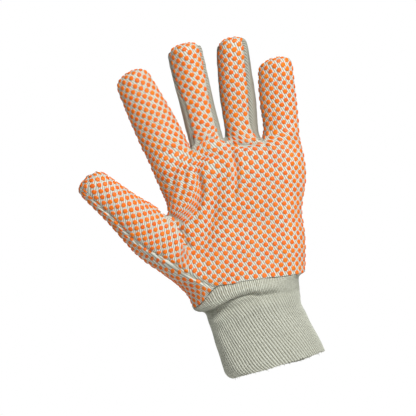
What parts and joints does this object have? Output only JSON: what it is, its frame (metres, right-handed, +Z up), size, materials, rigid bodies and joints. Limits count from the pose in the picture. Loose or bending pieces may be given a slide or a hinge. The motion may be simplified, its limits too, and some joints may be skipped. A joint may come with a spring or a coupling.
{
  "type": "cotton work glove",
  "caption": "Left-hand cotton drill work glove with a dotted grip palm and a rib-knit wrist, hollow and open at the wrist, in the form it has on a hand.",
  "frame": {"origin": "middle of the open wrist, on the plane of the knit's lower rim", "axes": "+Z up the wrist to the fingertips, the palm faces -Y, the thumb points to -X"},
  "size_m": [0.1801, 0.06, 0.2504],
  "materials": {
    "dotted_drill": "cotton drill with round plastic grip dots",
    "plain_drill": "unbleached cotton drill",
    "rib_knit": "ribbed cotton knit",
    "grip_dots": "soft orange plastic, satin",
    "seam_thread": "spun sewing thread"
  },
  "bodies": {
    "root": {"palm_panel": "dotted_drill", "middle_front": "dotted_drill", "ring_front": "dotted_drill", "thumb_back": "dotted_drill", "back_panel": "plain_drill", "knit_cuff": "rib_knit"}
  },
  "joints": []
}
